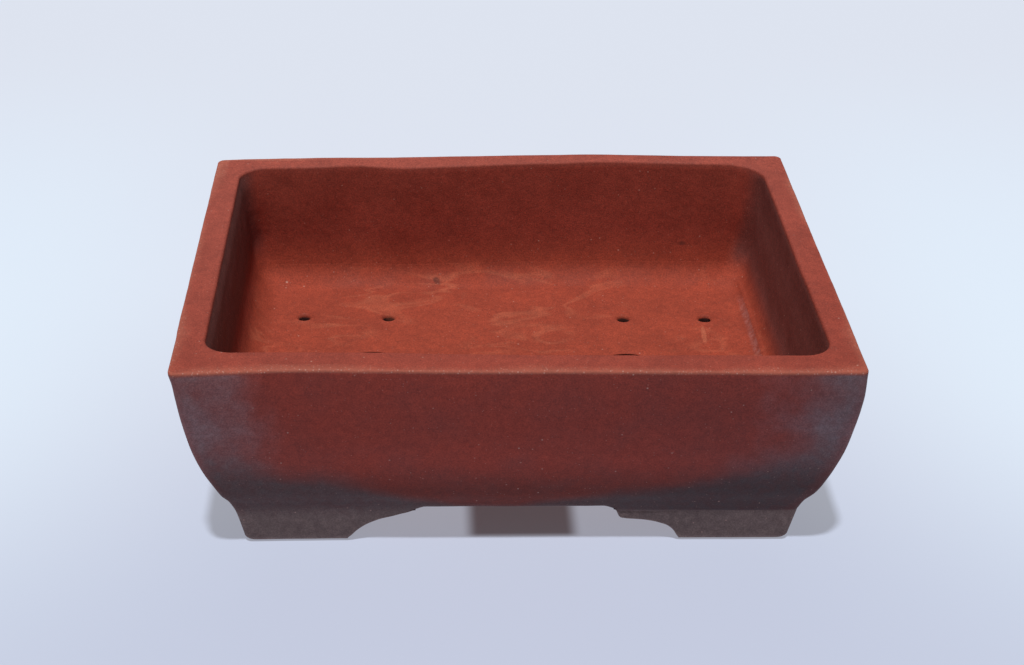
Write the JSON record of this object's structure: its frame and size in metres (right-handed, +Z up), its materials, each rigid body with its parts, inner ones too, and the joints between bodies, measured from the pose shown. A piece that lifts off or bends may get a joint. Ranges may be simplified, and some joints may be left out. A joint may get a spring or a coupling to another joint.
{
  "type": "bonsai pot",
  "caption": "Rectangular unglazed red clay bonsai pot with curved walls, flat lipped rim, cloud-profile corner feet, drain holes and wire holes.",
  "frame": {"origin": "on the ground under the middle of the pot: the centre of the bounding box's bottom face", "axes": "+X along the long side, to the right when seen from the front; +Y from the front to the back; +Z up through the opening"},
  "size_m": [0.25, 0.196, 0.088],
  "materials": {
    "red_clay": "unglazed, matt, fine speckled grog",
    "flashed_clay": "unglazed, matt, fire-flashed grey at corners and feet"
  },
  "bodies": {
    "root": {"floor_slab": "red_clay", "front_wall": "flashed_clay", "back_wall": "flashed_clay", "left_wall": "flashed_clay", "right_wall": "flashed_clay", "front_rim": "red_clay", "back_rim": "red_clay", "left_rim": "red_clay", "right_rim": "red_clay", "front_floor_seam_coil": "red_clay", "back_floor_seam_coil": "red_clay", "left_floor_seam_coil": "red_clay", "right_floor_seam_coil": "red_clay", "front_left_corner_coil": "red_clay", "front_right_corner_coil": "red_clay", "back_left_corner_coil": "red_clay", "back_right_corner_coil": "red_clay", "front_left_foot": "flashed_clay", "front_right_foot": "flashed_clay", "back_left_foot": "flashed_clay", "back_right_foot": "flashed_clay"}
  },
  "joints": []
}
